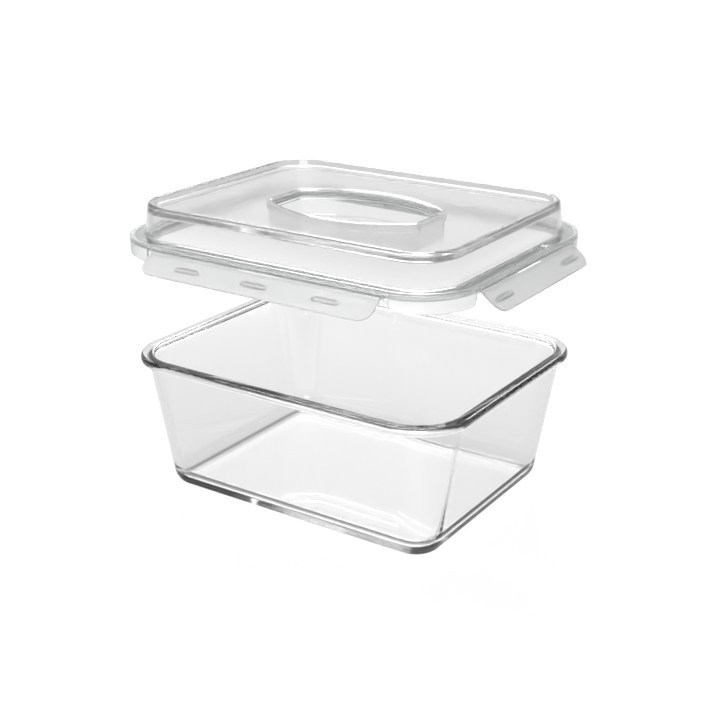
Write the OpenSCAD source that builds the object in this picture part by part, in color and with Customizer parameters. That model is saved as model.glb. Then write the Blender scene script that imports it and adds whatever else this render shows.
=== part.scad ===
// Rectangular glass food container with a domed clear lid. Four flaps hinge on the lid's frame and
// hook under the rim of the tub. The lid is drawn lifted off the tub, with its flaps flared.
// Origin: middle of the tub's base. +X runs along the length, +Y to the back, +Z up.

/* [Tub] */
// Length of the tub over its rim
rim_l = 250; // [200:1:320]
// Width of the tub over its rim
rim_w = 200; // [160:1:260]
// Height of the tub
tub_h = 97; // [60:1:140]
// Corner radius of the rim, seen from above
rim_r = 38; // [36:1:44]
// How far the foot of the wall stands inside the rim
foot_in = 18.5; // [17:0.5:21]
// Thickness of the wall
wall_t = 4; // [3:0.5:4.5]
// Thickness of the floor
floor_t = 6; // [4:0.5:9]
// Height of the bead that runs round the rim
bead_h = 5.5; // [5:0.5:6]
// How far the bead stands out from the wall
bead_out = 5.5; // [4.5:0.5:6]
// Radius of the rounded edge between wall and base
base_r = 11.5; // [8:0.5:13]

/* [Lid] */
// How far the lid is lifted off the tub
lift = 77; // [60:1:120]
// How far the frame stands out past the rim, on each side
frame_out = 2; // [2:0.1:2.5]
// Thickness of the gasket, pressed, between rim and frame
gasket_t = 2.3; // [2.1:0.1:2.8]
// Depth of the skirt at the four corners, below the top of the frame
skirt_h = 11.3; // [9:0.1:12]
// Length of the gap between a flap's end and the corner skirt
skirt_gap = 4; // [2:0.5:6]

/* [Dome] */
// Height of the dome above the frame
dome_h = 21; // [18:0.5:40]
// How far the foot of the dome stands inside the frame's edge
dome_in = 10; // [9:0.5:12]
// How far the dome's wall leans in from foot to top
dome_lean = 2.7; // [1:0.1:5]
// Thickness of the dome
dome_t = 2; // [1.5:0.1:2.5]
// How far the top panel lies below the border round it
panel_drop = 4; // [2.5:0.5:5]
// Width of the border round the top panel
border_w = 4; // [3:0.5:6]

/* [Handle well] */
// Length of the well
well_l = 113; // [90:1:120]
// Width of the well at its two short ends
well_end_w = 32.6; // [24:0.2:40]
// Width of the well at its middle
well_w = 76; // [60:1:84]
// Depth of the well below the top panel
well_d = 19.5; // [16:0.5:19.5]
// Depth of the dome's collar inside the well
collar_d = 5; // [4:0.5:7]
// Thickness of the well's wall, collar and floor
well_t = 1.6; // [1.2:0.1:2]

/* [Flaps] */
// Length of the front and back flaps
long_flap_l = 172; // [120:1:172]
// Length of the left and right flaps
short_flap_l = 122; // [80:1:122]
// Width of a flap from its hinge to its edge
flap_w = 18.8; // [16:0.2:22]
// Thickness of a flap
flap_t = 1.4; // [1.2:0.1:1.4]
// Angle of the flaps from hanging straight down
flare = 51.6; // [20:0.2:95]
// Radius of the round bead that a flap turns on
pivot_r = 1; // [0.9:0.05:1.1]
// Running clearance between that bead and its gutter
pivot_gap = 0.06; // [0.02:0.01:0.1]
// Length of a locking lug
lug_l = 18; // [10:1:24]
// Height of a locking lug
lug_h = 4.2; // [3:0.1:5]
// How far a lug reaches under the rim's bead
lug_bite = 1.8; // [1:0.1:2.2]

/* [Hidden] */
$fn = 48;
// Overlap that makes two touching shapes one solid
eps = 0.01;

// The plan of tub, frame, gasket and dome is a core rectangle with a band of one width round it.
core_x = rim_l / 2 - rim_r;
core_y = rim_w / 2 - rim_r;

// Heights with the lid seated. Each band below is a distance out from the core rectangle.
web_z = tub_h + gasket_t;
web_t = 1.3;
band_h = 1.7;
band_w = 3.2;
ledge_z = web_z + web_t;
top_z = ledge_z + band_h;
frame_r = rim_r + frame_out;
ledge_r = frame_r - band_w;
skirt_t = 1.5;
lip_r = 26;
rib_r = 28.6;
rib_t = 1;
// Clearance between the lid's fixed pieces
play = 0.1;

// Hinge line of the flaps, in the plane across a side
hinge_r = frame_r - 0.8;
hinge_z = top_z - 2.9;
gutter_t = 0.7;
bore_r = pivot_r + pivot_gap;
open_max = 100;
neck_t = 0.8;
plate_top = pivot_r + 0.9;

// Dome and well
dome_r = frame_r - dome_in;
crest_r = dome_r - dome_lean;
crest_z = top_z + dome_h;
panel_z = crest_z - panel_drop;
well_floor_z = panel_z - well_d;

function arc(cx, cy, r, from, to, n = 6) =
    [for (i = [0 : n]) let (a = from + (to - from) * i / n) [cx + r * cos(a), cy + r * sin(a)]];

// Sides are numbered from the front, then right, back and left
function is_long(side) = side % 2 == 0;
function flap_length(side) = is_long(side) ? long_flap_l : short_flap_l;

// Sweeps a profile round the core rectangle: x is the distance out, y the height
module swept() {
    for (corner = [[1, 1, 0], [-1, 1, 90], [-1, -1, 180], [1, -1, 270]])
        translate([corner[0] * core_x, corner[1] * core_y, 0])
            rotate([0, 0, corner[2]])
                rotate_extrude(angle = 90, $fn = 96) children();
    for (turn = [0, 180]) {
        rotate([0, 0, turn])
            translate([core_x, core_y, 0])
                rotate([90, 0, 0]) linear_extrude(2 * core_y) children();
        rotate([0, 0, turn + 90])
            translate([core_y, core_x, 0])
                rotate([90, 0, 0]) linear_extrude(2 * core_x) children();
    }
}

// Plan of the handle well: two long arcs with straight short ends, grown by `grow`
module well_plan(grow = 0) {
    sag = (well_w - well_end_w) / 2;
    bow = (well_l * well_l / 4 + sag * sag) / (2 * sag);
    intersection() {
        translate([0, well_w / 2 - bow]) circle(bow + grow, $fn = 180);
        translate([0, bow - well_w / 2]) circle(bow + grow, $fn = 180);
        square([well_l + 2 * grow, well_w + 2 * grow], center = true);
    }
}

module well_band(inner, outer, z, h) {
    translate([0, 0, z]) linear_extrude(h) difference() {
        well_plan(outer);
        well_plan(inner);
    }
}

module glass_tub() {
    foot_r = rim_r - foot_in;
    wall_r = rim_r - bead_out;
    bead_z = tub_h - bead_h;
    hollow_r = 1.5;
    bead_r = 2.4;
    crown_r = 2.4;
    mouth_r = 1.6;
    mouth_out = 0.8;
    fillet_r = 12;
    wall_top_z = bead_z - hollow_r;
    lean = atan((wall_r - foot_r) / (wall_top_z - base_r));
    inner_top = wall_r - wall_t;
    inner_foot = foot_r - wall_t;
    outside = concat(
        [[0, 0]],
        arc(foot_r - base_r, base_r, base_r, -90, -lean, 7),
        arc(wall_r + hollow_r, wall_top_z, hollow_r, 180, 90, 4),
        arc(rim_r - bead_r, bead_z + bead_r, bead_r, -90, 0, 5),
        arc(rim_r - crown_r, tub_h - crown_r, crown_r, 0, 90));
    inside = concat(
        arc(inner_top + mouth_out + mouth_r, tub_h - mouth_r, mouth_r, 90, 180, 4),
        [[inner_top, wall_top_z]],
        arc(inner_foot - fillet_r, floor_t + fillet_r, fillet_r, -lean, -90, 7),
        [[0, floor_t]]);
    color([0.86, 0.91, 0.9, 0.35]) {
        swept() polygon(concat(outside, inside));
        translate([-core_x, -core_y, 0]) cube([2 * core_x, 2 * core_y, floor_t]);
    }
}

// Round gutter that holds a flap's bead, seen along the hinge; its mouth faces down and outwards
module gutter_plan() {
    mouth = 30;
    reach = 4;
    difference() {
        circle(bore_r + gutter_t);
        circle(bore_r);
        polygon(concat([[0, 0]], arc(0, 0, reach, -90 - mouth, open_max - 90 + mouth, 8)));
    }
}

module lid_frame() {
    lip_d = 4.3;
    lip_t = 1.4;
    rib_d = 1.6;
    edge = 0.4;
    under_edge = 0.6;
    color([0.93, 0.96, 0.95, 0.7]) {
        difference() {
            union() {
                // web over the rim, with the lip that plugs the tub, the gasket's rib and the edge band
                swept() polygon([
                    [lip_r, web_z - lip_d], [lip_r + lip_t, web_z - lip_d], [lip_r + lip_t, web_z],
                    [rib_r, web_z], [rib_r, web_z - rib_d], [rib_r + rib_t, web_z - rib_d],
                    [rib_r + rib_t, web_z], [ledge_r + 1, web_z],
                    [frame_r - under_edge, ledge_z - under_edge / 2], [frame_r, ledge_z],
                    [frame_r, top_z - edge], [frame_r - edge, top_z],
                    [ledge_r, top_z], [ledge_r, ledge_z], [lip_r, ledge_z]]);
                corner_skirts();
            }
            for (side = [0 : 3]) at_hinge(side) pivot_room(flap_length(side));
        }
        for (side = [0 : 3]) at_hinge(side) hinge_gutter(flap_length(side));
    }
}

// The skirts run round the corners and stop short of the flaps' ends
module corner_skirts() {
    edge = 0.6;
    start_x = skirt_gap - core_x + long_flap_l / 2;
    start_y = skirt_gap - core_y + short_flap_l / 2;
    for (mx = [0, 1], my = [0, 1])
        mirror([mx, 0, 0]) mirror([0, my, 0]) translate([core_x, core_y, 0]) intersection() {
            rotate_extrude(angle = 90, $fn = 96)
                translate([frame_r - skirt_t, top_z - skirt_h]) square([skirt_t, skirt_h - edge]);
            translate([start_x, start_y, 0]) cube([frame_r, frame_r, 2 * top_z]);
        }
}

// Places a child drawn with its hinge line on the X axis and its outer side towards -Y
module at_hinge(side) {
    across = is_long(side) ? core_y : core_x;
    rotate([0, 0, 90 * side]) translate([0, -across - hinge_r, hinge_z]) children();
}

module along_hinge(length) {
    translate([-length / 2, 0, 0]) rotate([90, 0, 90]) mirror([1, 0, 0])
        linear_extrude(length) children();
}

// The gutter, closed at both ends so that the flap can't slide out
module hinge_gutter(length) {
    cap_t = 1.2;
    cap_gap = 0.3;
    along_hinge(length + 2 * cap_gap) gutter_plan();
    for (end = [-1, 1])
        translate([end * (length / 2 + cap_gap + cap_t / 2), 0, 0])
            along_hinge(cap_t + 2 * eps) circle(bore_r + gutter_t);
}

// Space for the gutter, a little smaller than the gutter so that the two join
module pivot_room(length) {
    join = 0.2;
    along_hinge(length + 2 * eps) circle(bore_r + gutter_t - join);
}

module gasket() {
    inner = rib_r + rib_t + 0.3;
    outer = ledge_r + 0.4;
    slab = 1.2;
    bead = 1.1;
    middle = (inner + outer) / 2 + 0.4;
    color([0.72, 0.86, 0.78]) translate([0, 0, web_z - play / 2]) swept() union() {
        translate([inner, -slab]) square([outer - inner, slab]);
        translate([middle, bead - gasket_t + play]) circle(bead, $fn = 32);
    }
}

module dome_cover() {
    crest_round = 2.2;
    foot_round = 0.8;
    seat_z = ledge_z + play / 2;
    seat_r = ledge_r - play;
    foot_inner = dome_r - dome_t - 0.6;
    crest_inner = crest_r - dome_t;
    slope = 0.8;
    border_r = crest_r - border_w;
    shell = concat(
        [[foot_inner, seat_z], [seat_r, seat_z], [seat_r, top_z],
         [dome_r + foot_round, top_z], [dome_r, top_z + foot_round]],
        arc(crest_r - crest_round, crest_z - crest_round, crest_round, 0, 90, 5),
        [[border_r + slope, crest_z], [border_r, crest_z - slope], [border_r - slope, panel_z],
         [0, panel_z], [0, panel_z - dome_t], [border_r - dome_t, panel_z - dome_t],
         [crest_inner - 1, panel_z], [crest_inner, panel_z - dome_t]]);
    color([0.95, 0.96, 0.96, 0.3]) {
        difference() {
            union() {
                swept() polygon(shell);
                translate([-core_x, -core_y, panel_z - dome_t])
                    cube([2 * core_x, 2 * core_y, dome_t]);
            }
            translate([0, 0, panel_z - 2 * dome_t]) linear_extrude(4 * dome_t) well_plan(eps);
        }
        well_band(0, well_t, panel_z - collar_d, collar_d);
    }
}

// Clear cup of the well, lapped round the dome's collar
module handle_well() {
    lap = 2;
    lap_t = 1.4;
    rim_z = panel_z - collar_d - play;
    color([0.93, 0.95, 0.95, 0.3]) {
        well_band(0, well_t, well_floor_z, rim_z - well_floor_z);
        well_band(well_t - eps, well_t + play + lap_t, rim_z - lap, lap);
        well_band(well_t + play, well_t + play + lap_t, rim_z, collar_d - dome_t);
        translate([0, 0, well_floor_z - well_t]) linear_extrude(well_t) well_plan(well_t);
    }
}

// One flap, hanging straight down from its hinge line on the X axis, outer side towards -Y
module flap(length, lugs) {
    corner_r = 9;
    edge_r = 0.95;
    neck_lap = 0.3;
    slot_l = 32;
    slot_h = 1.4;
    lug_gap = 0.3;
    lug_tip = 1;
    lug_top = hinge_z - (tub_h - bead_h) + lug_gap;
    lug_in = hinge_r - rim_r + lug_bite;
    difference() {
        union() {
            rotate([0, 90, 0]) cylinder(r = pivot_r, h = length, center = true);
            translate([-length / 2, -neck_t / 2, -plate_top - neck_lap])
                cube([length, neck_t, plate_top + neck_lap]);
            translate([0, flap_t / 2, 0]) rotate([90, 0, 0]) linear_extrude(flap_t)
                flap_plan(length, corner_r);
            translate([0, 0, -flap_w + edge_r]) rotate([0, 90, 0])
                cylinder(r = edge_r, h = length - 2 * corner_r, center = true, $fn = 24);
        }
        translate([-slot_l / 2, -flap_t, -pivot_r - slot_h]) cube([slot_l, 2 * flap_t, slot_h]);
    }
    for (at = lugs)
        translate([at * length - lug_l / 2, 0, 0]) rotate([90, 0, 90]) linear_extrude(lug_l)
            polygon([[0, -lug_top], [lug_in, -lug_top], [lug_in, -lug_top - lug_tip],
                     [0, -lug_top - lug_h]]);
}

// Outline of a flap's plate, with its two lower corners rounded
module flap_plan(length, corner_r) {
    translate([-length / 2, -flap_w + corner_r]) square([length, flap_w - corner_r - plate_top]);
    intersection() {
        translate([-length / 2, -flap_w]) square([length, corner_r + eps]);
        union() {
            translate([-length / 2 + corner_r, -flap_w]) square([length - 2 * corner_r, 2 * corner_r]);
            for (end = [-1, 1])
                translate([end * (length / 2 - corner_r), -flap_w + corner_r]) circle(corner_r);
        }
    }
}

// A long flap has three lugs and a short one two, placed as shares of its length
module flap_at(side) {
    lugs = is_long(side) ? [-0.3, 0, 0.3] : [-0.36, 0.36];
    color([0.95, 0.97, 0.97, 0.6])
        at_hinge(side) rotate([-flare, 0, 0]) flap(flap_length(side), lugs);
}

module raised() {
    translate([0, 0, lift]) children();
}

glass_tub();
raised() lid_frame();
raised() gasket();
raised() dome_cover();
raised() handle_well();
raised() flap_at(0);  // flap_front
raised() flap_at(1);  // flap_right
raised() flap_at(2);  // flap_back
raised() flap_at(3);  // flap_left
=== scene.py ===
"""Snap lid food container: a glass tub, and above it the clear domed lid with its four locking flaps.

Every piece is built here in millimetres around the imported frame, and turned into metres at the end.
"""

import math

import bmesh
import bpy
from mathutils import Matrix, Vector

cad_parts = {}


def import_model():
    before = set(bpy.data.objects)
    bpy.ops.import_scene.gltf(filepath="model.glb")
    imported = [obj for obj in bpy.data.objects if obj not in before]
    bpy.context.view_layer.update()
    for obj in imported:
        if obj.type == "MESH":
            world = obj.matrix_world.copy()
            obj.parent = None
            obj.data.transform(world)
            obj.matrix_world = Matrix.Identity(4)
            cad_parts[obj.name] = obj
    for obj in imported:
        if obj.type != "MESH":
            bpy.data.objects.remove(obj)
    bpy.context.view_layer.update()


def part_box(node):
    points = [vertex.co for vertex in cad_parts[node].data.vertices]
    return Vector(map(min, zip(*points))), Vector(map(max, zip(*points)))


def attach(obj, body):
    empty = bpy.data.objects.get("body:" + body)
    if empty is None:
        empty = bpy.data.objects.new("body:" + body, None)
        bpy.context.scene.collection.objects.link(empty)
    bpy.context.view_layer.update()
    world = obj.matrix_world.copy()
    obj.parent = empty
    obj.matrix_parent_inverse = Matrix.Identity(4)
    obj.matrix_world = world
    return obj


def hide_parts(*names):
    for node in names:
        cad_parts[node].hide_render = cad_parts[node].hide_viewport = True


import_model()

# ---------------------------------------------------------------- sizes, in millimetres
# An _R is a distance out from the core rectangle, which every band runs round.
MM = 0.001
RIM_R = 38.0                                     # the tub's rim, and so the radius of its corners
FRAME_R = RIM_R + 2.0                            # the lid frame's outer face
DOME_H = 21.0
RIM_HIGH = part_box("glass_tub")[1]                # in metres
CORE_X = RIM_HIGH.x / MM - RIM_R                 # half the core rectangle's length
CORE_Y = RIM_HIGH.y / MM - RIM_R                 # half its width
TUB_H = RIM_HIGH.z / MM
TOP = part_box("dome_cover")[1].z / MM - DOME_H    # top of the frame, at rest
CORNER_STEPS = 20                                # segments of each quarter turn
TUB_CORNER_STEPS = 48

# tub
WALL_T = 4.0
FLOOR_T = 6.0
FOOT_R = RIM_R - 18.5                            # outer face at the foot of the wall
WALL_TOP_R = RIM_R - 5.5                         # and at its top, under the bead
BEAD_H = 5.5
MOUTH_FLARE = 0.8                                # the mouth is this much wider than the wall's inner face
BASE_ROUND = 11.5                                # rounding of the base edge, seen in section
HOLLOW_ROUND = 1.5                               # under the bead
BEAD_ROUND = 2.4
CROWN_ROUND = 2.4
LIP_ROUND = 1.6
FILLET_ROUND = 12.0                              # between the inner wall and the floor

# lid frame, from the inside out
LIP_R = 26.0                                     # plug lip that enters the tub's mouth
LIP_T = 1.4
LIP_H = 4.3
RIB_R = 28.6                                     # rib that holds the gasket
RIB_T = 1.0
RIB_H = 1.6
LEDGE_R = FRAME_R - 3.2                          # step that the dome stands on
LEDGE_Z = TOP - 1.7
WEB_R = FRAME_R - 3.1                            # end of the web's flat underside
WEB_Z = TOP - 3.0
PLAIN_R = FRAME_R - 2.2                          # the same, where there is no gutter and no skirt
SKIRT_H = 11.3
SKIRT_T = 1.5
SKIRT_START = 3.0                                # how far round the corner a skirt begins
SKIRT_ROUND = 4.0

# flaps
HINGE_R = FRAME_R - 0.8                          # the hinge line
HINGE_Z = TOP - 2.9
PIVOT_RADIUS = 1.0                               # of the flap's bead
BORE_RADIUS = 1.06                               # of the gutter that it turns in
GUTTER_RADIUS = 1.76                             # of the gutter's outside
GUTTER_TURNS = (183, 240, 400, 422)              # where that starts, opens, closes and ends, in degrees
LONG_FLAP_L = 172.0
SHORT_FLAP_L = 122.0
FLAP_W = 18.8
FLAP_CORNER = 9.0
FLARE = 51.6                                     # from hanging, in degrees
SLOT_L = 32.0                                    # gap in the neck between the bead and the plate
LUG_TOP = 8.2                                    # below the hinge line
LUG_H = 4.2
LUG_L = 18.0
LONG_LUGS = (-51.6, 0.0, 51.6)                   # places along a flap
SHORT_LUGS = (-43.9, 43.9)

# dome and hand well
DOME_T = 2.0
DOME_FOOT_R = FRAME_R - 10.0
DOME_CREST_R = DOME_FOOT_R - 2.7
BORDER_W = 4.0                                   # raised border round the panel
CREST_Z = TOP + DOME_H
PANEL_Z = CREST_Z - 4.0
WELL_L = 113.0
WELL_W = 76.0                                    # at the middle
WELL_END_W = 32.6
WELL_D = 19.5
WELL_T = 1.6
COLLAR_D = 5.0                                   # the part of the well that belongs to the dome

# ---------------------------------------------------------------- studio, in metres
AZIMUTH = 33.58                                  # of the camera, in degrees
ELEVATION = 20.91
DISTANCE = 0.8656
LENS = 63.42                                     # in millimetres, on a sensor that is 36 wide
AIM_RIGHT = 0.00332                              # the camera aims this far to the right of the middle
AIM_Z = 0.088
FLOOR_HALF = 6.0
FLOOR_GLOW = 0.9                                 # as the camera sees it
# painted light and shade on the floor, seen only by the glass: bright under the tub, a painted contact shadow
# in a dark band round its foot, then paler
PAINTED_FLOOR_LIGHT_AND_SHADOW = ((0.0105, 1.0), (0.013, 0.12), (0.0165, 0.12), (0.019, 0.65))  # (out from the core, level)
WHITE_TO_DARK_Z = (0.3, 0.6)                     # heights in which the backdrop fades, in a unit direction
DARK_TO_WHITE_Y = (0.7, 1.0)                     # and how far it must face away from the camera
HORIZON_Z = (0.03, 0.08)                         # a white ring all round, fading between these heights
DARK_LEVEL = 0.22                                # of the studio elsewhere
LAMP_WATTS = 22.0
BOUNCES = 64

# ---------------------------------------------------------------- colours
GREY_GLASS = (0.7, 0.7, 0.7)                     # tint of the light lost inside clear materials
GREY_MILK = (0.7, 0.72, 0.71)                    # and inside milky ones


# ---------------------------------------------------------------- profiles
def arc(cx, cy, radius, start, end, steps=8):
    """Points on an arc from one angle to another, in degrees."""
    turns = [math.radians(start + (end - start) * i / steps) for i in range(steps + 1)]
    return [(cx + radius * math.cos(t), cy + radius * math.sin(t)) for t in turns]


def rounded(points, closed=True, steps=4):
    """The outline with each corner (x, y, radius) turned into an arc."""
    out = []
    count = len(points)
    for i, (x, y, radius) in enumerate(points):
        here = Vector((x, y))
        if radius <= 0 or (not closed and i in (0, count - 1)):
            out.append((x, y))
            continue
        back = (Vector(points[i - 1][:2]) - here).normalized()
        on = (Vector(points[(i + 1) % count][:2]) - here).normalized()
        half = back.angle(on) / 2
        cut = radius / math.tan(half)
        a, b = here + back * cut, here + on * cut
        centre = here + (back + on).normalized() * (radius / math.sin(half))
        spin = (a - centre).angle_signed(b - centre)
        for k in range(steps + 1):
            turn = Matrix.Rotation(-spin * k / steps, 2)
            p = centre + turn @ (a - centre)
            out.append((p.x, p.y))
    return out


def lerp(a, b, t):
    return (a[0] + (b[0] - a[0]) * t, a[1] + (b[1] - a[1]) * t)


# ---------------------------------------------------------------- meshes
def core_stations(steps=CORNER_STEPS):
    """Points of the core rectangle with their outward directions, once round."""
    out = []
    for quarter, (sx, sy) in enumerate(((1, 1), (-1, 1), (-1, -1), (1, -1))):
        for k in range(steps + 1):
            a = math.radians(90 * quarter + 90 * k / steps)
            out.append(((sx * CORE_X, sy * CORE_Y), (math.cos(a), math.sin(a))))
    return out


def put(station, point):
    """A profile point (distance out, height) at a station, as a vertex."""
    (cx, cy), (nx, ny) = station
    if point[0] < 0:
        nx, ny = math.copysign(1, cx), math.copysign(1, cy)
    return Vector((cx + nx * point[0], cy + ny * point[0], point[1]))


def add_ring(bm, stations, point):
    return [bm.verts.new(put(s, point)) for s in stations]


def join_rings(bm, a, b):
    """Quads between two closed rings of equal length."""
    count = len(a)
    for i in range(count):
        j = (i + 1) % count
        bm.faces.new((a[i], a[j], b[j], b[i]))


def loft(bm, loops, caps=True):
    """Joins closed loops one after the other, and can close both ends."""
    for a, b in zip(loops, loops[1:]):
        join_rings(bm, a, b)
    if caps:
        bm.faces.new(loops[0])
        bm.faces.new(loops[-1])


def finish_mesh(bm, name, sharp=40.0, weighted=True):
    """Turns a bmesh in millimetres into an object in metres, smooth but for its sharp edges."""
    bmesh.ops.remove_doubles(bm, verts=bm.verts, dist=1e-4)
    bmesh.ops.dissolve_degenerate(bm, edges=bm.edges, dist=1e-5)
    bmesh.ops.recalc_face_normals(bm, faces=bm.faces)
    bmesh.ops.scale(bm, vec=(MM, MM, MM), verts=bm.verts)
    mesh = bpy.data.meshes.new(name)
    bm.to_mesh(mesh)
    bm.free()
    return as_object(mesh, name, sharp, weighted)


def as_object(mesh, name, sharp=40.0, weighted=True):
    mesh.shade_smooth()
    mesh.set_sharp_from_angle(angle=math.radians(sharp))
    piece = bpy.data.objects.new(name, mesh)
    bpy.context.scene.collection.objects.link(piece)
    if weighted:
        even = piece.modifiers.new("even_shading", "WEIGHTED_NORMAL")
        even.keep_sharp = True
        even.weight = 100
    return piece


def swept(name, profile, sharp=40.0):
    """A closed profile swept once round the core rectangle."""
    bm = bmesh.new()
    stations = core_stations()
    rings = [add_ring(bm, stations, p) for p in profile]
    for a, b in zip(rings, rings[1:] + rings[:1]):
        join_rings(bm, a, b)
    return finish_mesh(bm, name, sharp)


# ---------------------------------------------------------------- glass tub
def tub_profile():
    """The tub's section, from the middle of the base up the outside, over the rim and down the inside."""
    bead_z = TUB_H - BEAD_H
    wall_top = bead_z - HOLLOW_ROUND
    lean = math.degrees(math.atan((WALL_TOP_R - FOOT_R) / (wall_top - BASE_ROUND)))
    wall_in = WALL_TOP_R - WALL_T
    floor_in = FOOT_R - WALL_T
    mouth = wall_in + MOUTH_FLARE
    foot = arc(FOOT_R - BASE_ROUND, BASE_ROUND, BASE_ROUND, -90, -lean, 14)
    under_bead = arc(WALL_TOP_R + HOLLOW_ROUND, wall_top, HOLLOW_ROUND, 180 - lean, 90, 8)
    bead = arc(RIM_R - BEAD_ROUND, bead_z + BEAD_ROUND, BEAD_ROUND, -88, 0, 6)
    crown = arc(RIM_R - CROWN_ROUND, TUB_H - CROWN_ROUND, CROWN_ROUND, 0, 88, 10)
    lip = arc(mouth + LIP_ROUND, TUB_H - LIP_ROUND, LIP_ROUND, 92, 180 - lean, 10)
    fillet = arc(floor_in - FILLET_ROUND, FLOOR_T + FILLET_ROUND, FILLET_ROUND, -lean, -90, 24)
    return [(0.0, 0.0)] + foot + under_bead + bead + crown + lip + fillet


def glass_tub():
    bm = bmesh.new()
    stations = core_stations(TUB_CORNER_STEPS)
    rings = [add_ring(bm, stations, p) for p in tub_profile()]
    loft(bm, rings)
    return finish_mesh(bm, "tub_of_glass", weighted=False)


# ---------------------------------------------------------------- dome and hand well
def well_outline(grow=0.0, corner=4.0, long_steps=24, corner_steps=6):
    """Plan of the hand well: two long arcs and straight short ends, with rounded corners."""
    sag = (WELL_W - WELL_END_W) / 2
    bow = (WELL_L ** 2 / 4 + sag ** 2) / (2 * sag)
    low = WELL_W / 2 - bow
    cx = WELL_L / 2 - corner
    cy = low + math.sqrt((bow - corner) ** 2 - cx ** 2)
    turn = math.degrees(math.atan2(cy - low, cx))
    half = arc(cx, cy, corner + grow, 0, turn, corner_steps)
    half += arc(0, low, bow + grow, turn, 180 - turn, long_steps)[1:-1]
    half += arc(-cx, cy, corner + grow, 180 - turn, 180, corner_steps)
    return half + [(-x, -y) for x, y in half]


def add_outline(bm, grow, z):
    return [bm.verts.new((x, y, z)) for x, y in well_outline(grow)]


def fill_between(bm, outer, inner):
    """Flat faces between two closed rings at one height."""
    edges = []
    for ring in (outer, inner):
        for i, v in enumerate(ring):
            other = ring[(i + 1) % len(ring)]
            edges.append(bm.edges.get((v, other)) or bm.edges.new((v, other)))
    bmesh.ops.triangle_fill(bm, edges=edges, use_beauty=True)


def dome_cover():
    """The dome's shell, and the collar round the mouth of the hand well."""
    crest_in = DOME_CREST_R - BORDER_W
    under = PANEL_Z - DOME_T
    shell = rounded([
        (crest_in - 3.0, PANEL_Z, 0), (crest_in - 0.9, PANEL_Z, 0.9), (crest_in, CREST_Z, 1.2),
        (DOME_CREST_R, CREST_Z, 2.2), (DOME_FOOT_R, TOP, 1.0), (LEDGE_R - 0.1, TOP, 0.35),
        (LEDGE_R - 0.1, LEDGE_Z + 0.05, 0.2), (DOME_FOOT_R - DOME_T - 0.6, LEDGE_Z + 0.05, 0.3),
        (DOME_CREST_R - DOME_T, under + 0.8, 1.4), (DOME_CREST_R - 4.6, under, 1.2),
        (crest_in - 6.0, under, 0)], closed=False, steps=6)
    bm = bmesh.new()
    stations = core_stations()
    rings = [add_ring(bm, stations, p) for p in shell]
    loft(bm, rings, caps=False)
    edge = 0.8
    mouth = arc(edge, PANEL_Z - edge, edge, 90, 180, 5)
    collar = mouth + [(0.25, PANEL_Z - COLLAR_D), (WELL_T - 0.2, PANEL_Z - COLLAR_D),
                      (WELL_T, PANEL_Z - COLLAR_D + 0.2), (WELL_T, under)]
    loops = [add_outline(bm, g, z) for g, z in collar]
    loft(bm, loops, caps=False)
    fill_between(bm, rings[0], loops[0])
    fill_between(bm, rings[-1], loops[-1])
    return finish_mesh(bm, "dome_of_clear_plastic")


def handle_well():
    """The cup: its wall hangs below the dome's collar, and its lap rises round the outside of it."""
    floor_z = PANEL_Z - WELL_D
    rim_z = PANEL_Z - COLLAR_D - 0.1
    lap_z = PANEL_Z - DOME_T - 0.1
    lap_in = WELL_T + 0.1
    lap_out = lap_in + 1.4
    fillet = 2.2
    inner = arc(-fillet, floor_z + fillet, fillet, -90, 0, 6)
    outer = arc(-fillet, floor_z + fillet, fillet + WELL_T, 0, -90, 6)
    section = inner + [(0.0, rim_z - 0.2), (0.2, rim_z), (lap_in, rim_z), (lap_in, lap_z), (lap_out, lap_z),
                       (lap_out, rim_z - 2.0), (WELL_T + 0.3, rim_z - 2.4)] + outer
    bm = bmesh.new()
    loops = [add_outline(bm, g, z) for g, z in section]
    loft(bm, loops)
    return finish_mesh(bm, "cup_of_the_hand_well")


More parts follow.
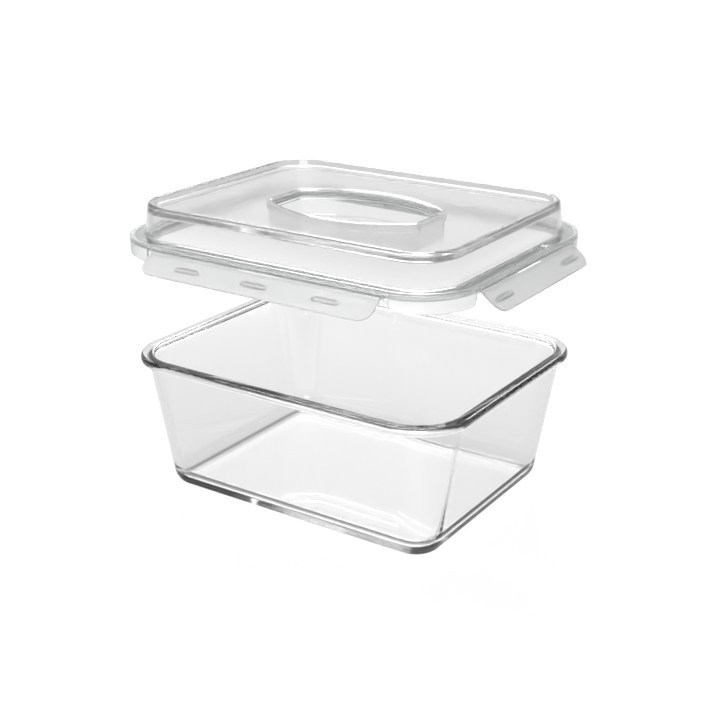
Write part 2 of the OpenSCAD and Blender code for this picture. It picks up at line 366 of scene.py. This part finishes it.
# ---------------------------------------------------------------- lid frame and gasket
def frame_profile(kind, depth=0.0):
    """Section of the frame, of one kind: gutter, cap (a gutter filled in), skirt or plain.

    Every kind has the same number of points, so that they join up.
    """
    ring_steps, bore_steps, lip_steps = 5, 14, 3
    lip_z, rib_z = WEB_Z - LIP_H, WEB_Z - RIB_H
    inner = rounded([
        (LEDGE_R, TOP, 0.25), (LEDGE_R, LEDGE_Z, 0.2), (LIP_R, LEDGE_Z, 0.4), (LIP_R, lip_z, 0.5),
        (LIP_R + LIP_T, lip_z, 0.5), (LIP_R + LIP_T, WEB_Z, 0.3), (RIB_R, WEB_Z, 0.2), (RIB_R, rib_z, 0.3),
        (RIB_R + RIB_T, rib_z, 0.3), (RIB_R + RIB_T, WEB_Z, 0.2), (WEB_R, WEB_Z, 0.0)], closed=False, steps=3)
    if kind in ("gutter", "cap"):
        start, opens, closes, end = GUTTER_TURNS
        ring = arc(HINGE_R, HINGE_Z, GUTTER_RADIUS, start, opens, ring_steps)
        if kind == "gutter":
            bore = arc(HINGE_R, HINGE_Z, BORE_RADIUS, opens, closes - 360, bore_steps)
        else:
            bore = arc(HINGE_R, HINGE_Z, GUTTER_RADIUS, opens, closes, bore_steps)
        lip = arc(HINGE_R, HINGE_Z, GUTTER_RADIUS, closes, end, lip_steps)
    else:
        skirt_in, half_t = FRAME_R - SKIRT_T, SKIRT_T / 2
        foot = HINGE_Z + 1.2 if kind == "plain" else TOP - depth
        start = (PLAIN_R if kind == "plain" else skirt_in, WEB_Z)
        ring = [lerp(start, (skirt_in, foot + 0.7), i / ring_steps) for i in range(ring_steps + 1)]
        bore = arc(FRAME_R - half_t, foot + 0.7, half_t, 180, 360, bore_steps)
        low, high = (FRAME_R, foot + 0.8), (FRAME_R, max(foot + 0.9, HINGE_Z + 1.57))
        lip = [lerp(low, high, i / lip_steps) for i in range(lip_steps + 1)]
    rim = arc(FRAME_R - 0.5, TOP - 0.5, 0.5, 0, 90, 4)
    return inner + ring + bore + lip + rim


def frame_stations():
    """Where each section of the frame stands, once round: the place and the section."""
    out = []
    sides = ((CORE_X, CORE_Y, LONG_FLAP_L, 0), (CORE_Y, CORE_X, SHORT_FLAP_L, 90),
             (CORE_X, CORE_Y, LONG_FLAP_L, 180), (CORE_Y, CORE_X, SHORT_FLAP_L, 270))
    start = math.degrees(math.asin(SKIRT_START / (FRAME_R - SKIRT_T / 2)))
    for along, across, flap_l, turn in sides:
        spin = Matrix.Rotation(math.radians(turn), 2)

        def station(x, y, angle, section):
            place = spin @ Vector((x, y))
            out_dir = spin @ Vector((math.sin(math.radians(angle)), -math.cos(math.radians(angle))))
            out.append((((place.x, place.y), (out_dir.x, out_dir.y)), section))

        end = flap_l / 2 + 0.3
        plain = frame_profile("plain")
        for x, kind in ((-along, "plain"), (-along, "cap"), (-end, "cap"), (-end, "gutter"),
                        (end, "gutter"), (end, "cap"), (along, "cap"), (along, "plain")):
            station(x, -across, 0, frame_profile(kind))
        station(along, -across, start, plain)
        sweep = math.degrees(SKIRT_ROUND / FRAME_R)
        rounding, inside = 6, 18
        ends = []
        for k in range(rounding + 1):
            t = math.radians(90 * k / rounding)
            ends.append((start + sweep * (1 - math.cos(t)), SKIRT_H - SKIRT_ROUND * (1 - math.sin(t))))
        for angle, depth in ends:
            station(along, -across, angle, frame_profile("skirt", depth))
        for k in range(1, inside):
            angle = ends[-1][0] + (90 - 2 * ends[-1][0]) * k / inside
            station(along, -across, angle, frame_profile("skirt", SKIRT_H))
        for angle, depth in reversed(ends):
            station(along, -across, 90 - angle, frame_profile("skirt", depth))
        station(along, -across, 90 - start, plain)
    return out


def lid_frame():
    bm = bmesh.new()
    rings = [[bm.verts.new(put(place, p)) for p in section] for place, section in frame_stations()]
    for a, b in zip(rings, rings[1:] + rings[:1]):
        join_rings(bm, a, b)
    return finish_mesh(bm, "frame_of_the_lid", sharp=35.0)


def gasket():
    """A flat ring against the frame's web, with a soft lip that points down at the tub's rim."""
    top = WEB_Z - 0.05
    inner, outer = RIB_R + RIB_T + 0.3, LEDGE_R + 0.4
    middle = (inner + outer) / 2 + 0.4
    flat, low = top - 1.2, top - 2.2
    profile = rounded([
        (inner, top, 0.2), (outer, top, 0.2), (outer, flat, 0.25), (middle + 1.9, flat, 0.3),
        (middle + 0.7, low, 0.45), (middle - 0.7, low, 0.45), (middle - 1.9, flat, 0.3),
        (inner, flat, 0.25)], steps=3)
    return swept("sealing_ring", profile)


# ---------------------------------------------------------------- flaps
def plan_loop(bm, half_l, inset, y):
    """Outline of a flap's plate, drawn inwards by an inset, at one depth."""
    top, low = -(PIVOT_RADIUS + 0.9) - inset, -FLAP_W + inset
    side = half_l - inset
    low_r, top_r = FLAP_CORNER - inset, max(2.0 - inset, 0.15)
    points = arc(side - low_r, low + low_r, low_r, -90, 0, 10)
    points += arc(side - top_r, top - top_r, top_r, 0, 90, 4)
    points += arc(-side + top_r, top - top_r, top_r, 90, 180, 4)
    points += arc(-side + low_r, low + low_r, low_r, 180, 270, 10)
    return [bm.verts.new((x, y, z)) for x, z in points]


def flap_plate(bm, half_l):
    """The plate: a thin panel inside a thicker rounded border."""
    border_t, panel_t, border_w = 0.78, 0.6, 1.5
    edge = arc(border_t, 0.0, border_t, 90, 270, 9)
    face = [(border_w + 0.7, panel_t), (border_w + 0.35, panel_t + 0.04), (border_w, border_t - 0.02)]
    section = face + edge + [(inset, -y) for inset, y in reversed(face)]
    loops = [plan_loop(bm, half_l, inset, y) for inset, y in section]
    loft(bm, loops)


def rod(bm, half_l, radius, steps=20, edge=0.2):
    """A round bar along the X axis with softened ends."""
    full = half_l - edge
    stops = ((-half_l, radius - edge), (-full, radius), (full, radius), (half_l, radius - edge))
    rings = []
    for x, r in stops:
        turns = (2 * math.pi * i / steps for i in range(steps))
        rings.append([bm.verts.new((x, r * math.cos(t), r * math.sin(t))) for t in turns])
    loft(bm, rings)


def block(bm, low, high):
    made = bmesh.ops.create_cube(bm, size=1.0)["verts"]
    for v in made:
        v.co = Vector(low[i] + (high[i] - low[i]) * (v.co[i] + 0.5) for i in range(3))


def lug(bm, x):
    """A hook with round ends: its upper face is square to the plate, its lower face slopes."""
    loops = []
    for y, inset in ((0.2, 0.0), (1.6, 0.0), (2.5, 0.15), (2.85, 0.4), (3.0, 0.8)):
        slope = max(y - 0.7, 0.0) * 0.95
        high, low = -LUG_TOP - inset, -LUG_TOP - LUG_H + slope * 0.8 + inset * 0.3
        radius = (high - low) / 2
        middle = (high + low) / 2
        half = LUG_L / 2 - radius - inset
        points = arc(half, middle, radius, -90, 90, 8) + arc(-half, middle, radius, 90, 270, 8)
        loops.append([bm.verts.new((x + px, y, pz)) for px, pz in points])
    loft(bm, loops)


def scratch_object(bm, name):
    bmesh.ops.recalc_face_normals(bm, faces=bm.faces)
    mesh = bpy.data.meshes.new(name)
    bm.to_mesh(mesh)
    bm.free()
    ob = bpy.data.objects.new(name, mesh)
    bpy.context.scene.collection.objects.link(ob)
    return ob


def union_of(parts, name):
    """One closed mesh from solids that overlap."""
    base, others = parts[0], parts[1:]
    for i, other in enumerate(others):
        m = base.modifiers.new(f"join_{i}", "BOOLEAN")
        m.operation = "UNION"
        m.solver = "EXACT"
        m.object = other
    graph = bpy.context.evaluated_depsgraph_get()
    mesh = bpy.data.meshes.new_from_object(base.evaluated_get(graph))
    mesh.name = name
    for ob in parts:
        bpy.data.objects.remove(ob)
    return mesh


def flap_mesh(length, lugs, name):
    """A flap hanging straight down from its hinge line on the X axis, outer side towards -Y."""
    half = length / 2
    neck_end = half - 0.4
    parts = []

    def part(build, *args):
        bm = bmesh.new()
        build(bm, *args)
        parts.append(scratch_object(bm, f"scratch_{len(parts)}"))

    part(flap_plate, half)
    part(rod, half, PIVOT_RADIUS)
    for low, high in ((-neck_end, -SLOT_L / 2), (SLOT_L / 2, neck_end)):
        part(block, (low, -0.4, -2.7), (high, 0.4, -0.4))
    for x in lugs:
        part(lug, x)
    return union_of(parts, name)


def place_flap(mesh, name, side):
    across = CORE_Y if side % 2 == 0 else CORE_X
    move = (Matrix.Rotation(math.radians(90 * side), 4, "Z")
            @ Matrix.Translation((0, -across - HINGE_R, HINGE_Z))
            @ Matrix.Rotation(math.radians(-FLARE), 4, "X"))
    copy = mesh.copy()
    copy.transform(Matrix.Scale(MM, 4) @ move)
    return as_object(copy, name, sharp=35.0)


# ---------------------------------------------------------------- materials
def new_material(name):
    mat = bpy.data.materials.new(name)
    mat.use_nodes = True
    shader = mat.node_tree.nodes["Principled BSDF"]
    return mat, mat.node_tree, shader


def noise(tree, scale, detail=3.0, stretch=(1, 1, 1)):
    """Noise in the piece's own space, in metres."""
    coords = tree.nodes.new("ShaderNodeTexCoord")
    mapping = tree.nodes.new("ShaderNodeMapping")
    mapping.inputs["Scale"].default_value = stretch
    tex = tree.nodes.new("ShaderNodeTexNoise")
    tex.inputs["Scale"].default_value = scale
    tex.inputs["Detail"].default_value = detail
    tree.links.new(coords.outputs["Object"], mapping.inputs["Vector"])
    tree.links.new(mapping.outputs["Vector"], tex.inputs["Vector"])
    return tex.outputs["Fac"]


def spread(tree, value, low, high, start=0.3, end=0.7):
    """Maps the start to end part of a value onto another range."""
    node = tree.nodes.new("ShaderNodeMapRange")
    node.inputs["From Min"].default_value = start
    node.inputs["From Max"].default_value = end
    node.inputs["To Min"].default_value = low
    node.inputs["To Max"].default_value = high
    tree.links.new(value, node.inputs["Value"])
    return node.outputs["Result"]


def tint(tree, value, dark, light):
    """A colour between two, by a noise value."""
    node = tree.nodes.new("ShaderNodeValToRGB")
    node.color_ramp.elements[0].position = 0.3
    node.color_ramp.elements[0].color = (*dark, 1)
    node.color_ramp.elements[1].position = 0.7
    node.color_ramp.elements[1].color = (*light, 1)
    tree.links.new(value, node.inputs["Fac"])
    return node.outputs["Color"]


def bump(tree, shader, value, strength, distance):
    node = tree.nodes.new("ShaderNodeBump")
    node.inputs["Strength"].default_value = strength
    node.inputs["Distance"].default_value = distance
    tree.links.new(value, node.inputs["Height"])
    tree.links.new(node.outputs["Normal"], shader.inputs["Normal"])


def absorb(tree, colour, density):
    node = tree.nodes.new("ShaderNodeVolumeAbsorption")
    node.inputs["Color"].default_value = (*colour, 1)
    node.inputs["Density"].default_value = density
    out = tree.nodes["Material Output"]
    tree.links.new(node.outputs["Volume"], out.inputs["Volume"])


def clear_material(name, colour, rough, waviness, density):
    """A clear moulded or pressed material: faint waviness, and a trace of handling in its gloss."""
    mat, tree, shader = new_material(name)
    shader.inputs["Transmission Weight"].default_value = 1.0
    shader.inputs["IOR"].default_value = 1.5
    shader.inputs["Base Color"].default_value = (*colour, 1)
    smears = noise(tree, 38.0, 4.0, (1.0, 1.0, 0.5))
    tree.links.new(spread(tree, smears, rough, rough + 0.03), shader.inputs["Roughness"])
    bump(tree, shader, noise(tree, 22.0, 1.0), waviness, 0.0006)
    absorb(tree, GREY_GLASS, density)
    return mat


def milky_material(name, dark, light, rough, through, density):
    """A translucent moulded plastic with a fine grain."""
    mat, tree, shader = new_material(name)
    shader.inputs["Transmission Weight"].default_value = through
    shader.inputs["IOR"].default_value = 1.45
    cloud = noise(tree, 60.0, 4.0)
    tree.links.new(tint(tree, cloud, dark, light), shader.inputs["Base Color"])
    tree.links.new(spread(tree, noise(tree, 320.0, 3.0), rough, rough + 0.08), shader.inputs["Roughness"])
    bump(tree, shader, noise(tree, 700.0, 2.0), 0.04, 0.0001)
    absorb(tree, GREY_MILK, density)
    return mat


def paint_shade_upwards(mat, low, high, clear, shaded_level):
    """Paints shade into a clear material's colour: a grey that goes from one level to another between two
    heights, in millimetres.
    """
    tree = mat.node_tree
    coords = tree.nodes.new("ShaderNodeTexCoord")
    split = tree.nodes.new("ShaderNodeSeparateXYZ")
    tree.links.new(coords.outputs["Object"], split.inputs["Vector"])
    height = spread(tree, split.outputs["Z"], 0.0, 1.0, low * MM, high * MM)
    ramp = tree.nodes.new("ShaderNodeValToRGB")
    for stop, level in zip(ramp.color_ramp.elements, (clear, shaded_level)):
        stop.color = (level, level, level, 1)
    tree.links.new(height, ramp.inputs["Fac"])
    tree.links.new(ramp.outputs["Color"], tree.nodes["Principled BSDF"].inputs["Base Color"])


def rubber_material():
    mat, tree, shader = new_material("pale_silicone")
    shader.inputs["Transmission Weight"].default_value = 0.25
    shader.inputs["IOR"].default_value = 1.42
    cloud = noise(tree, 80.0, 4.0)
    tree.links.new(tint(tree, cloud, (0.3, 0.6, 0.45), (0.42, 0.7, 0.55)), shader.inputs["Base Color"])
    tree.links.new(spread(tree, noise(tree, 420.0, 3.0), 0.42, 0.58), shader.inputs["Roughness"])
    bump(tree, shader, noise(tree, 1200.0, 2.0), 0.15, 0.0001)
    return mat


# ---------------------------------------------------------------- the object
def dress(piece, body, node, material):
    piece.data.materials.clear()
    piece.data.materials.append(material)
    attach(piece, body)
    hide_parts(node)


def build_object():
    glass = clear_material("pressed_glass", (1, 1, 1), rough=0.0, waviness=0.015, density=20.0)
    clear = clear_material("clear_plastic", (0.8, 0.8, 0.8), rough=0.05, waviness=0.02, density=3.0)
    well = clear_material("clear_plastic_cup", (0.84, 0.85, 0.845), rough=0.05, waviness=0.02, density=3.0)
    # painted shade: the dome's colour grows darker towards its top, standing in for the darker reflection on
    # its upper wall
    paint_shade_upwards(clear, TOP, PANEL_Z - DOME_T, clear=0.95, shaded_level=0.8)
    frosted = milky_material("frame_plastic", (0.97, 0.985, 0.975), (0.99, 0.995, 0.99),
                             rough=0.12, through=0.75, density=6.0)
    milky = milky_material("flap_plastic", (0.97, 0.975, 0.975), (0.99, 0.99, 0.99),
                           rough=0.3, through=0.8, density=220.0)

    dress(glass_tub(), "tub", "glass_tub", glass)
    dress(lid_frame(), "lid", "lid_frame", frosted)
    dress(gasket(), "lid", "gasket", rubber_material())
    dress(dome_cover(), "lid", "dome_cover", clear)
    dress(handle_well(), "lid", "handle_well", well)

    long_flap = flap_mesh(LONG_FLAP_L, LONG_LUGS, "long_flap")
    short_flap = flap_mesh(SHORT_FLAP_L, SHORT_LUGS, "short_flap")
    for side, node in enumerate(("flap_front", "flap_right", "flap_back", "flap_left")):
        mesh = long_flap if side % 2 == 0 else short_flap
        piece = place_flap(mesh, f"{node}_plate", side)
        dress(piece, node, node, milky)


# ---------------------------------------------------------------- studio
def vector_step(tree, operation, value, other=(0, 0, 0)):
    node = tree.nodes.new("ShaderNodeVectorMath")
    node.operation = operation
    tree.links.new(value, node.inputs[0])
    node.inputs[1].default_value = other
    return node.outputs["Value"] if operation == "LENGTH" else node.outputs["Vector"]


def facing_camera(tree, vector):
    """The vector turned about Z, so that its Y points away from the main camera."""
    turn = tree.nodes.new("ShaderNodeVectorRotate")
    turn.rotation_type = "Z_AXIS"
    turn.inputs["Angle"].default_value = -math.radians(AZIMUTH)
    tree.links.new(vector, turn.inputs["Vector"])
    return turn.outputs["Vector"]


def combine(tree, operation, one, other):
    """One number from two."""
    node = tree.nodes.new("ShaderNodeMath")
    node.operation = operation
    tree.links.new(one, node.inputs[0])
    tree.links.new(other, node.inputs[1])
    return node.outputs["Value"]


def grey_ramp(tree, value, levels):
    """A grey that follows (position, level) stops."""
    ramp = tree.nodes.new("ShaderNodeValToRGB")
    stops = ramp.color_ramp.elements
    while len(stops) < len(levels):
        stops.new(0.5)
    for stop, (position, level) in zip(stops, levels):
        stop.position = position
        stop.color = (level, level, level, 1)
    tree.links.new(value, ramp.inputs["Fac"])
    return ramp.outputs["Color"]


def painted_floor_light_and_shadow(tree):
    """The floor's painted light and shade as the glass sees it: painted light, bright under the tub, and a
    painted contact shadow in a dark band just round it.
    """
    coords = tree.nodes.new("ShaderNodeTexCoord")
    place = vector_step(tree, "ABSOLUTE", coords.outputs["Object"])
    place = vector_step(tree, "SUBTRACT", place, (CORE_X * MM, CORE_Y * MM, 0))
    place = vector_step(tree, "MAXIMUM", place)
    return grey_ramp(tree, vector_step(tree, "LENGTH", place), PAINTED_FLOOR_LIGHT_AND_SHADOW)


def floor():
    """A glossy sheet that glows: even white to the camera, and to everything else the painted light under the
    tub with a painted shadow band round it.
    """
    bm = bmesh.new()
    bmesh.ops.create_grid(bm, x_segments=1, y_segments=1, size=FLOOR_HALF)
    mesh = bpy.data.meshes.new("floor")
    bm.to_mesh(mesh)
    bm.free()
    ob = bpy.data.objects.new("floor", mesh)
    ob.location.z = -0.0002
    bpy.context.scene.collection.objects.link(ob)
    mat, tree, shader = new_material("white_acrylic")
    shader.inputs["Base Color"].default_value = (0.1, 0.1, 0.1, 1)
    shader.inputs["Roughness"].default_value = 0.1
    shader.inputs["IOR"].default_value = 1.5
    shader.inputs["Emission Color"].default_value = (1, 1, 1, 1)
    path = tree.nodes.new("ShaderNodeLightPath")
    choose = tree.nodes.new("ShaderNodeMix")
    tree.links.new(path.outputs["Is Camera Ray"], choose.inputs[0])
    tree.links.new(painted_floor_light_and_shadow(tree), choose.inputs[2])
    choose.inputs[3].default_value = FLOOR_GLOW
    tree.links.new(choose.outputs[0], shader.inputs["Emission Strength"])
    mesh.materials.append(mat)


def world():
    """White to the camera. To everything else, a backdrop behind the object in a dark studio."""
    studio_world = bpy.data.worlds.new("studio")
    bpy.context.scene.world = studio_world
    studio_world.use_nodes = True
    tree = studio_world.node_tree
    coords = tree.nodes.new("ShaderNodeTexCoord")
    split = tree.nodes.new("ShaderNodeSeparateXYZ")
    tree.links.new(facing_camera(tree, coords.outputs["Generated"]), split.inputs["Vector"])
    height = spread(tree, split.outputs["Z"], 1.0, 0.0, *WHITE_TO_DARK_Z)
    depth = spread(tree, split.outputs["Y"], 0.0, 1.0, *DARK_TO_WHITE_Y)
    horizon = spread(tree, split.outputs["Z"], 1.0, 0.0, *HORIZON_Z)
    path = tree.nodes.new("ShaderNodeLightPath")
    backdrop = combine(tree, "MULTIPLY", height, depth)
    level = spread(tree, backdrop, DARK_LEVEL, 1.0, 0.0, 1.0)
    level = combine(tree, "MAXIMUM", level, horizon)
    level = combine(tree, "MAXIMUM", level, path.outputs["Is Camera Ray"])
    tree.links.new(level, tree.nodes["Background"].inputs["Strength"])
    tree.nodes["Background"].inputs["Color"].default_value = (1, 1, 1, 1)


def turned_towards(direction):
    """The turn that makes a lamp or a camera look along a direction."""
    return direction.to_track_quat("-Z", "Y")


def lamp(name, place, aim, size):
    """A square softbox that looks at a point."""
    data = bpy.data.lights.new(name, "AREA")
    data.shape = "RECTANGLE"
    data.size = data.size_y = size
    data.energy = LAMP_WATTS
    ob = bpy.data.objects.new(name, data)
    ob.location = place
    ob.rotation_mode = "QUATERNION"
    ob.rotation_quaternion = turned_towards(Vector(aim) - Vector(place))
    bpy.context.scene.collection.objects.link(ob)


def camera():
    azimuth, elevation = math.radians(AZIMUTH), math.radians(ELEVATION)
    back = Vector((math.sin(azimuth) * math.cos(elevation), -math.cos(azimuth) * math.cos(elevation),
                   math.sin(elevation)))
    right = Vector((math.cos(azimuth), math.sin(azimuth), 0))
    target = right * AIM_RIGHT + Vector((0, 0, AIM_Z))
    data = bpy.data.cameras.new("camera")
    data.sensor_width = 36.0
    data.lens = LENS
    data.clip_start, data.clip_end = 0.01, 50.0
    ob = bpy.data.objects.new("camera", data)
    ob.location = target + back * DISTANCE
    ob.rotation_mode = "QUATERNION"
    ob.rotation_quaternion = turned_towards(-back)
    bpy.context.scene.collection.objects.link(ob)
    bpy.context.scene.camera = ob


def studio():
    scene = bpy.context.scene
    scene.view_settings.view_transform = "Standard"
    scene.cycles.max_bounces = BOUNCES
    scene.cycles.transmission_bounces = BOUNCES
    scene.cycles.glossy_bounces = BOUNCES
    floor()
    world()
    lamp("softbox", (-0.5, 0.5, 1.2), (0, 0, 0.1), 0.8)
    lamp("front_fill", (0.8, -1.3, 1.0), (0, 0, 0.17), 1.0)
    camera()


build_object()
studio()
